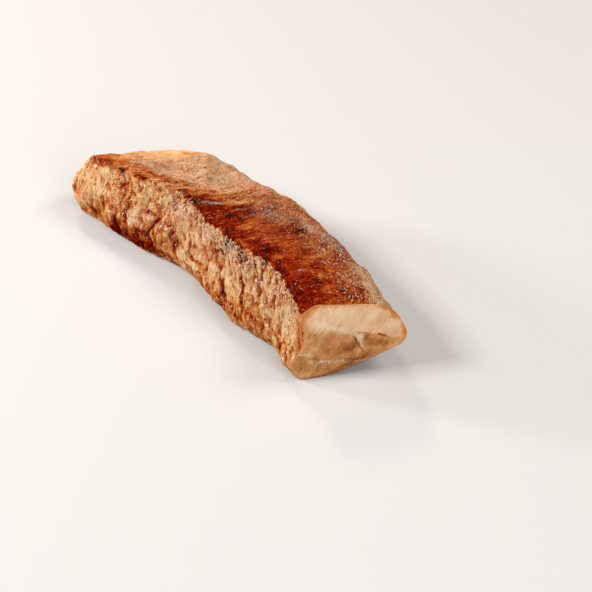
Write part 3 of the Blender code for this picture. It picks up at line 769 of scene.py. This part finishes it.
# painted shade: darker flesh along the bottom rim, right of the lower left corner
low_rim_shade = bell(from_rim / (0.10 + 0.26 * ramp(q, 1.4, 2.4)))
flesh += 0.45 * ramp(q, 0.8, 1.8) * ramp(z_face, 1.35, 0.5) * low_rim_shade
edge *= ramp(z_face, 0.15, 0.7) * 0.7 + 0.3
edge += 1.5 * slit**2
edge = clip(edge)
rosy = spots(ROSY)
tissue = fat * clip(0.75 + 0.8 * noise(57, q / 0.20, z_face / 0.12), 0, 1.2) + 0.85 * flap
tissue += 0.35 * fold * ramp(q, 0.1, 0.3)
tissue += 0.35 * near_route(q_bent, z_bent + 0.12, LOWER_SEAM, 0.13)
tissue += spots(TISSUE)
print("depth of the flesh colour, mean:", round(float(flesh.mean()), 2))

# %% [markdown]
# ## One closed mesh
#
# The rings of the skin and of the face follow each other, with one point at each end, so the mesh
# is closed. Faces are quads whose corners come from index arrays. The mesh is moved so that its
# box shares its middle with the solid's box.

# %% Build the mesh
TIP = np.array([-0.01, 0, 0])  # the far pole stands this much past the first ring
rings = np.concatenate([skin, face])
count, points = rings.shape[:2]
low, high = rings.min((0, 1)), rings.max((0, 1))
poles = [skin[0].mean(0) + TIP], [face[-1].mean(0)]
vertices = np.concatenate([poles[0], rings.reshape(-1, 3), poles[1]])
base = np.array([*(low + high)[:2] / 2, low[2]])
cad_base = np.array([*(cad_low + cad_high)[:2] / 2, cad_low[2]])
vertices = (vertices - base) * CM + cad_base

ring_at, point_at = np.meshgrid(np.arange(count - 1), np.arange(points), indexing="ij")
point_next = (point_at + 1) % points
quads = 1 + np.stack([ring_at * points + point_at, (ring_at + 1) * points + point_at,
                      (ring_at + 1) * points + point_next, ring_at * points + point_next], -1)
quads = quads.reshape(-1, 4)
first = 1 + np.arange(points)
last = 1 + (count - 1) * points + np.arange(points)
tip_fan = np.stack([np.zeros_like(first), first, np.roll(first, -1)], -1)
hub_fan = np.stack([np.full_like(last, len(vertices) - 1), np.roll(last, -1), last], -1)
mesh = bpy.data.meshes.new("tenderloin_meat")
mesh.from_pydata(vertices.tolist(), [], quads.tolist() + tip_fan.tolist() + hub_fan.tolist())
mesh.shade_smooth()
meat = bpy.data.objects.new("tenderloin_meat", mesh)
bpy.context.scene.collection.objects.link(meat)
halves = np.concatenate([quads[:, [0, 1, 2]], quads[:, [0, 2, 3]], tip_fan, hub_fan])
a, b, c = np.moveaxis(vertices[halves], 1, 0)
volume = (a * np.cross(b, c)).sum() / 6  # plus, because every face points out
print("triangles:", len(halves), " volume, cubic cm:", round(volume * 1e6))

# %% [markdown]
# ## Numbers on the mesh
#
# The zones and browning go onto the mesh as attributes, one number at each vertex, for the
# material to read. A UV map holds the fibre coordinates in metres, so that a pattern in the
# material follows the fibres too. It is set at each face corner: where a face closes a ring, the
# last corners add the length of the ring, which keeps the seam under the meat clean.

# %% Attributes and the fibre map
skin_zero, face_zero = np.zeros_like(along), np.zeros_like(q)


def at_vertices(on_skin, on_face):
    """One number at each vertex: the skin's rings, then the face's, and a mean at each pole."""
    both = np.concatenate([on_skin, on_face])
    return np.concatenate([[both[0].mean()], both.ravel(), [both[-1].mean()]])


def store(name, on_skin, on_face):
    """Puts one number at each vertex, under a name that a material reads."""
    layer = mesh.attributes.new(name, "FLOAT", "POINT")
    layer.data.foreach_set("value", at_vertices(on_skin, on_face).astype(np.float32))


SKIN_NUMBERS = dict(sear=sear, char=char, ash=ash, wet=wet, blush=blush, streaky=streaky,
                    grainy=grainy, flakes_and_glints=flakes_and_glints)
for name, values in SKIN_NUMBERS.items():
    store(name, values, face_zero)
store("flesh", skin_zero + flesh[0], flesh)
store("edge", skin_zero + edge[0], edge)
store("rosy", skin_zero, rosy)
store("tissue", skin_zero, tissue)

u, v = at_vertices(fibre, q), at_vertices(around, z_face)
v[0] = 0  # at the tip, as on the ridge
girth = at_vertices(np.repeat(step.sum(1)[:, None], points, 1), face_zero)
corner = np.concatenate([quads.ravel(), tip_fan.ravel(), hub_fan.ravel()])
closing = [np.zeros(part.shape, bool) for part in (quads, tip_fan, hub_fan)]
closing[0][point_next.ravel() == 0, 2:] = True  # corners that have gone once round
closing[1][-1, 2] = True
closing[2][-1, 1] = True
once_round = np.concatenate([part.ravel() for part in closing])
u, v = u[corner], v[corner] + once_round * girth[corner]
fibre_map = mesh.uv_layers.new(name="fibre_map")
fibre_map.data.foreach_set("uv", (np.stack([u, v], -1) * CM).astype(np.float32).ravel())

on_face = np.concatenate([quads.min(1) >= 1 + (len(skin) - 1) * points,
                          np.zeros(points, bool), np.ones(points, bool)])
mesh.polygons.foreach_set("material_index", on_face.astype(np.int32))
print("attributes:", sorted(a.name for a in mesh.attributes if a.domain == "POINT"))

# %% [markdown]
# ## Materials
#
# A material here is a row of layers, each mixed over the one before by a number from the mesh.
# Colours are written as sRGB hex, as read off a screen, and turned to the linear values that
# light is computed in. One small function adds a node, sets it up and links its inputs. What is
# the same all over the surface is set on the shader itself.

# %% One function for nodes
MM = 0.001  # metres in a millimetre


def linear(code):
    """sRGB hex to linear RGBA: c/12.92 below 0.04045, ((c+0.055)/1.055)^2.4 above."""
    c = np.array([int(code[i:i + 2], 16) for i in (1, 3, 5)]) / 255
    return (*np.where(c <= 0.04045, c / 12.92, ((c + 0.055) / 1.055)**2.4), 1.0)


def add(tree, kind, inputs=None, output=0, stops=(), **settings):
    """Adds a node and gives one output. Inputs are numbers, hex colours or links; stops are a
    colour ramp's positions and colours; the rest are the node's own settings."""
    node = tree.nodes.new("ShaderNode" + kind)
    for name, value in settings.items():
        setattr(node, name, value)
    for key, value in (inputs or {}).items():
        if isinstance(value, bpy.types.NodeSocket):
            tree.links.new(value, node.inputs[key])
        else:
            node.inputs[key].default_value = linear(value) if isinstance(value, str) else value
    for k, (position, code) in enumerate(stops):
        spots = node.color_ramp.elements
        spot = spots[k] if k < 2 else spots.new(position)
        spot.position, spot.color = position, linear(code)
    return node.outputs[output]


def new_material(name, constants):
    """A material, its node tree and its shader, with the shader's constant inputs set."""
    mat = bpy.data.materials.new(name)
    mat.use_nodes = True
    shader = mat.node_tree.nodes["Principled BSDF"]
    for key, value in constants.items():
        shader.inputs[key].default_value = value
    return mat, mat.node_tree, shader


print("cream in linear light:", np.round(linear("#E3BC92"), 3))

# %% [markdown]
# ### Seared crust
#
# Sear makes a thin, hard, browned skin on meat. Here it is also glazed by the marinade, which is
# red from paprika and brown from sugar. The eye sees saturated dark colours with small sharp
# glints where it is wet, and dull grey grains where it dried. The patterns of this material are
# finer than the mesh: fibres a little under a millimetre wide with dark veins between them,
# grains of about a millimetre, pale flecks where the crust stands off, which also serve as
# painted glints, and beads of marinade, which bend the glints.

# %% Crust material
NOISES = {  # width, length and depth of one cell in millimetres, then the noise's settings
    "thread": ((0.9, 2.8, 1.0), {"Detail": 3.0, "Roughness": 0.7, "Distortion": 0.7}),
    "vein": ((1.6, 7.0, 1.0), {"Detail": 3.0, "Roughness": 0.6}),
    "fleck": ((0.8, 1.3, 1.0), {"Detail": 1.6, "Distortion": 1.0}),
    "bead": ((1.0, 2.2, 1.0), {"Detail": 1.0}),
}
GRAIN = 1.1 * MM
ROUGH_DEPTH, BEAD_DEPTH = 0.7 * MM, 1.2 * MM
SEARED = [(0.00, "#FADAB0"), (0.15, "#EBB884"), (0.30, "#D68E4E"), (0.45, "#C06424"),
          (0.60, "#AA4210"), (0.75, "#8C2204"), (0.90, "#6A0C00"), (1.00, "#440400")]
BLUSHED = [(0.0, "#FFE0E8"), (0.5, "#FFFFFF"), (1.0, "#FFF6C8")]  # rosy, plain, fatty
# the two pale fleck colours are dry crust and painted glints on it
VEIL, DRY_FLAKE_GLINT, ASHY_FLAKE_GLINT, BURNT = "#DCC4A4", "#FFD2A4", "#FFF0E2", "#24130A"
CRUST = {"Roughness": 0.6, "IOR": 1.42, "Specular IOR Level": 0.0, "Coat Roughness": 0.06,
         "Subsurface Weight": 0.05, "Subsurface Radius": (1.0, 0.35, 0.2),
         "Subsurface Scale": 0.8 * MM}


def seared_crust():
    """Browned, marinated pork: the sear number picks the colour, ash and char go over it."""
    mat, tree, shader = new_material("seared_pork_crust", CRUST)
    flat = add(tree, "UVMap", uv_map="fibre_map")
    solid = add(tree, "TexCoord", output="Object")
    sear, char, ash, wet, blush, streaky, grainy, flakes_and_glints = (
        add(tree, "Attribute", output="Fac", attribute_name=name) for name in SKIN_NUMBERS)

    # fibres and grains, -0.5 to 0.5, flecks of -0.3 to 0.3, and thin veins, 0 to 1
    noises = []
    for size, settings in NOISES.values():
        place = add(tree, "Mapping", {"Vector": flat, "Scale": [1 / (s * MM) for s in size]})
        noises.append(add(tree, "TexNoise", {"Vector": place, "Scale": 1.0, **settings}))
    thread, vein, fleck, bead = noises
    thread = add(tree, "MapRange", {"Value": thread, "From Min": 0.25, "From Max": 0.75,
                                    "To Min": -0.5, "To Max": 0.5})
    vein = add(tree, "Math", {0: vein, 1: 0.5}, operation="SUBTRACT")
    vein = add(tree, "Math", {0: vein}, operation="ABSOLUTE")
    vein = add(tree, "MapRange", {"Value": vein, "From Min": 0.04, "From Max": 0.0})
    grain = add(tree, "TexNoise", {"Vector": solid, "Scale": 1 / GRAIN, "Detail": 4.0,
                                  "Roughness": 0.7})
    grain = add(tree, "MapRange", {"Value": grain, "From Min": 0.34, "From Max": 0.66,
                                   "To Min": -0.5, "To Max": 0.5})
    fleck = add(tree, "Math", {0: fleck, 1: 0.5}, operation="SUBTRACT")

    # the sear, unsettled by fibres, veins, grains and dark pits, picks the colour
    pits = add(tree, "MapRange", {"Value": fleck, "From Min": -0.15, "From Max": -0.23})
    threads, veins, grains, pits = (
        add(tree, "Math", {0: pattern, 1: strength}, operation="MULTIPLY")
        for pattern, strength in ((thread, streaky), (vein, streaky), (grain, grainy),
                                  (pits, grainy)))
    for term, weight in ((threads, -0.54), (veins, 0.42), (grains, -0.38), (pits, 0.70)):
        sear = add(tree, "Math", {0: term, 1: weight, 2: sear}, operation="MULTIPLY_ADD")
    colour = add(tree, "ValToRGB", {"Fac": sear}, stops=SEARED)
    tint = add(tree, "MapRange", {"Value": blush, "From Min": -1.0, "From Max": 1.0})
    tint = add(tree, "ValToRGB", {"Fac": tint}, stops=BLUSHED)
    colour = add(tree, "Mix", {0: 1.0, 6: colour, 7: tint}, 2, data_type="RGBA",
                 blend_type="MULTIPLY")

    # a thin grey veil of ash, pale dry flakes that stand off and also serve as painted glints, and
    # char in streaks
    veil = add(tree, "Math", {0: grain, 1: 0.6}, operation="ADD")
    veil = add(tree, "Math", {0: veil, 1: ash}, operation="MULTIPLY")
    veil = add(tree, "Math", {0: veil, 1: 0.8}, operation="MULTIPLY", use_clamp=True)
    flake_and_glint = add(tree, "Math", {0: flakes_and_glints, 1: 0.25, 2: fleck}, operation="MULTIPLY_ADD")
    flake_and_glint = add(tree, "MapRange", {"Value": flake_and_glint, "From Min": 0.24, "From Max": 0.29,
                                   "To Max": 0.9})
    frost_and_glint = add(tree, "Mix", {0: ash, 6: DRY_FLAKE_GLINT, 7: ASHY_FLAKE_GLINT}, 2, data_type="RGBA")
    burnt = char
    for term, weight in ((thread, 0.5), (fleck, -1.2)):
        burnt = add(tree, "Math", {0: term, 1: weight, 2: burnt}, operation="MULTIPLY_ADD")
    burnt = add(tree, "MapRange", {"Value": burnt, "From Min": 0.3, "From Max": 0.6,
                                   "To Max": 0.85}, interpolation_type="SMOOTHSTEP")
    for amount, above in ((veil, VEIL), (flake_and_glint, frost_and_glint), (burnt, BURNT)):
        colour = add(tree, "Mix", {0: amount, 6: colour, 7: above}, 2, data_type="RGBA")
    tree.links.new(colour, shader.inputs["Base Color"])

    # a dull surface under a broken coat of marinade, whose waves are smooth and wide
    coat = add(tree, "Math", {0: wet, 1: 0.25, 2: bead}, operation="MULTIPLY_ADD")
    coat = add(tree, "MapRange", {"Value": coat, "From Min": 0.73, "From Max": 0.79},
               interpolation_type="SMOOTHSTEP")
    tree.links.new(coat, shader.inputs["Coat Weight"])
    height = add(tree, "Math", {0: threads, 1: grains}, operation="ADD")
    for term, weight in ((veins, -0.5), (flake_and_glint, 0.4)):
        height = add(tree, "Math", {0: term, 1: weight, 2: height}, operation="MULTIPLY_ADD")
    for bumps, depth, key in ((height, ROUGH_DEPTH, "Normal"), (bead, BEAD_DEPTH, "Coat Normal")):
        bump = add(tree, "Bump", {"Height": bumps, "Strength": 1.0, "Distance": depth})
        tree.links.new(bump, shader.inputs[key])
    return mat


mesh.materials.append(seared_crust())
print("material:", mesh.materials[0].name)

# %% [markdown]
# ### Cut flesh
#
# Cooked pork inside is pale beige, a little rosy in the middle, and moist. Light goes a few
# millimetres into it, which softens it. The layers are: the depth of colour with small specks,
# the rosy middle, the orange rim, and pale tissue in the seam, with fibres a little under a
# millimetre wide over all.

# %% Flesh material
FLESH_THREAD = (0.9 * MM, 3.0 * MM, 1.0 * MM)
SPECK = 0.8 * MM  # beads of fat and juice
DEPTHS = [(0.00, "#F4D4B0"), (0.20, "#E6BC92"), (0.40, "#CF9A62"), (0.60, "#BA7C40"),
          (0.80, "#9C5C22"), (1.00, "#7A3C10")]
ORANGES = [(0.20, "#E6AE78"), (0.50, "#D88A48"), (0.75, "#BE6420"), (1.00, "#7A2C0C")]
ROSY_MEAT, PALE_TISSUE = "#CB7E58", "#F0DCC2"
FLESHY = {"Roughness": 0.45, "IOR": 1.40, "Specular IOR Level": 0.15,
          "Coat Weight": 0.15, "Coat Roughness": 0.20, "Subsurface Weight": 0.15,
          "Subsurface Radius": (1.0, 0.45, 0.25), "Subsurface Scale": 1.5 * MM}


def cut_flesh():
    """Sliced roast pork: two beige muscles with a soft orange-brown rim."""
    mat, tree, shader = new_material("cut_pork_flesh", FLESHY)
    flat = add(tree, "UVMap", uv_map="fibre_map")
    solid = add(tree, "TexCoord", output="Object")
    flesh, edge, rosy, tissue = (add(tree, "Attribute", output="Fac", attribute_name=name)
                                 for name in ("flesh", "edge", "rosy", "tissue"))
    place = add(tree, "Mapping", {"Vector": flat, "Scale": [1 / s for s in FLESH_THREAD]})
    thread = add(tree, "TexNoise", {"Vector": place, "Scale": 1.0, "Detail": 2.0})
    speck = add(tree, "TexNoise", {"Vector": solid, "Scale": 1 / SPECK, "Detail": 1.0})
    thread, speck = (add(tree, "Math", {0: pattern, 1: 0.5}, operation="SUBTRACT")
                     for pattern in (thread, speck))
    fibrous = add(tree, "Math", {0: thread, 1: flesh}, operation="MULTIPLY")
    depth = flesh
    for term, weight in ((fibrous, 0.5), (speck, 0.25)):
        depth = add(tree, "Math", {0: term, 1: weight, 2: depth}, operation="MULTIPLY_ADD")
    colour = add(tree, "ValToRGB", {"Fac": depth}, stops=DEPTHS)
    rosy = add(tree, "Math", {0: rosy, 1: 0.55}, operation="MULTIPLY")
    ragged = add(tree, "Math", {0: thread, 1: 0.6, 2: edge}, operation="MULTIPLY_ADD",
                 use_clamp=True)
    orange = add(tree, "ValToRGB", {"Fac": ragged}, stops=ORANGES)
    ragged = add(tree, "MapRange", {"Value": ragged, "From Min": 0.05, "From Max": 0.5})
    pale = add(tree, "Math", {0: speck, 1: 1.8, 2: tissue}, operation="MULTIPLY_ADD")
    pale = add(tree, "MapRange", {"Value": pale, "From Min": 0.3, "From Max": 0.9, "To Max": 0.7})
    for amount, above in ((rosy, ROSY_MEAT), (ragged, orange), (pale, PALE_TISSUE)):
        colour = add(tree, "Mix", {0: amount, 6: colour, 7: above}, 2, data_type="RGBA")
    tree.links.new(colour, shader.inputs["Base Color"])
    bump = add(tree, "Bump", {"Height": thread, "Strength": 0.6, "Distance": 0.5 * MM})
    tree.links.new(bump, shader.inputs["Normal"])
    return mat


mesh.materials.append(cut_flesh())
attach(meat, "root")
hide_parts(NODE)
print("material:", mesh.materials[1].name)

# %% [markdown]
# ## Floor and light
#
# The meat lies on a plain pale floor. Two warm lamps at the left make its form and the glints on
# the wall, a wide one on the right keeps the cut face bright, a large one behind lights the far
# edge, and a small one behind puts the glints on the glaze.

# %% Floor and lights
FLOOR_HALF, FLOOR_DROP = 6.0, 0.0002  # metres: half its side, and how far it lies below the meat
LOOK_HEIGHT = 0.02                    # the lamps look at this height above the origin
MATT_PAPER = {"Base Color": linear("#D3D5D7"), "Roughness": 0.9, "Specular IOR Level": 0.1}
LAMPS = [  # name, azimuth and elevation in degrees, distance and size in m, watts, colour
    ("key", -28, 42, 1.2, 0.30, 10.2, "#FFFAF3"),
    ("left", -56, 12, 1.2, 0.18, 9.9, "#FFFAF3"),
    ("fill", 80, 30, 1.3, 0.9, 8.5, "#FFFFFF"),
    ("back", 150, 50, 1.3, 0.5, 7.6, "#FFF2E6"),
    ("glint", 250, 38, 1.2, 0.20, 4.0, "#FFEAD4"),
]
SKY, SKY_STRENGTH = (1.0, 0.98, 0.96, 1), 0.08
corners = [(-FLOOR_HALF, -FLOOR_HALF), (FLOOR_HALF, -FLOOR_HALF),
           (FLOOR_HALF, FLOOR_HALF), (-FLOOR_HALF, FLOOR_HALF)]
floor_mesh = bpy.data.meshes.new("floor")
floor_mesh.from_pydata([(a, b, cad_low[2] - FLOOR_DROP) for a, b in corners], [], [(0, 1, 2, 3)])
floor = bpy.data.objects.new("floor", floor_mesh)
bpy.context.scene.collection.objects.link(floor)
floor_mesh.materials.append(new_material("matt_white_paper", MATT_PAPER)[0])


def away(azimuth, elevation):
    """Unit vector from the meat towards a viewer: azimuth 0 in front, elevation 0 level."""
    a, e = np.radians([azimuth, elevation])
    return Vector((np.sin(a) * np.cos(e), -np.cos(a) * np.cos(e), np.sin(e)))


for name, azimuth, elevation, distance, size, power, colour in LAMPS:
    light = bpy.data.lights.new(name, "AREA")
    light.energy = power
    light.color = linear(colour)[:3]
    light.size = size
    holder = bpy.data.objects.new(name, light)
    bpy.context.scene.collection.objects.link(holder)
    back = away(azimuth, elevation)
    holder.location = back * distance + Vector((0, 0, LOOK_HEIGHT))
    holder.rotation_mode = "QUATERNION"
    holder.rotation_quaternion = back.to_track_quat("Z", "Y")
world = bpy.data.worlds.new("studio")
world.use_nodes = True
for key, value in enumerate((SKY, SKY_STRENGTH)):
    world.node_tree.nodes["Background"].inputs[key].default_value = value
bpy.context.scene.world = world
bpy.context.scene.view_settings.view_transform = "Standard"

# %% [markdown]
# ## Camera
#
# The camera stands where the photographer stood: to the right of the cut end and 38 degrees up,
# with a long lens. One point of the meat, seen at a known pixel, fixes where the camera is.

# %% Camera
AZIMUTH, ELEVATION = 52.0, 38.0
LENS, SENSOR = 107.8, 36.0             # millimetres
IMAGE = 592                            # pixels each way
SEEN_POINT = Vector((0.01242, -0.01083, 0.0175))
SEEN_PIXEL = (239, 264)
DISTANCE = 0.8034                      # metres, from the camera to the seen point
back = away(AZIMUTH, ELEVATION)
right = away(AZIMUTH + 90, 0)
up = back.cross(right)
offset = (np.array(SEEN_PIXEL) - IMAGE / 2) / (LENS / SENSOR * IMAGE)
aim = -back + right * offset[0] - up * offset[1]
camera = bpy.data.objects.new("camera", bpy.data.cameras.new("camera"))
bpy.context.scene.collection.objects.link(camera)
camera.data.lens = LENS
camera.data.sensor_width = SENSOR
camera.data.clip_start = 0.01
camera.matrix_world = Matrix.Translation(SEEN_POINT - aim * DISTANCE) @ Matrix(
    (right, up, back)).transposed().to_4x4()
bpy.context.scene.camera = camera
print("camera at, m:", np.round(camera.matrix_world.translation, 3))
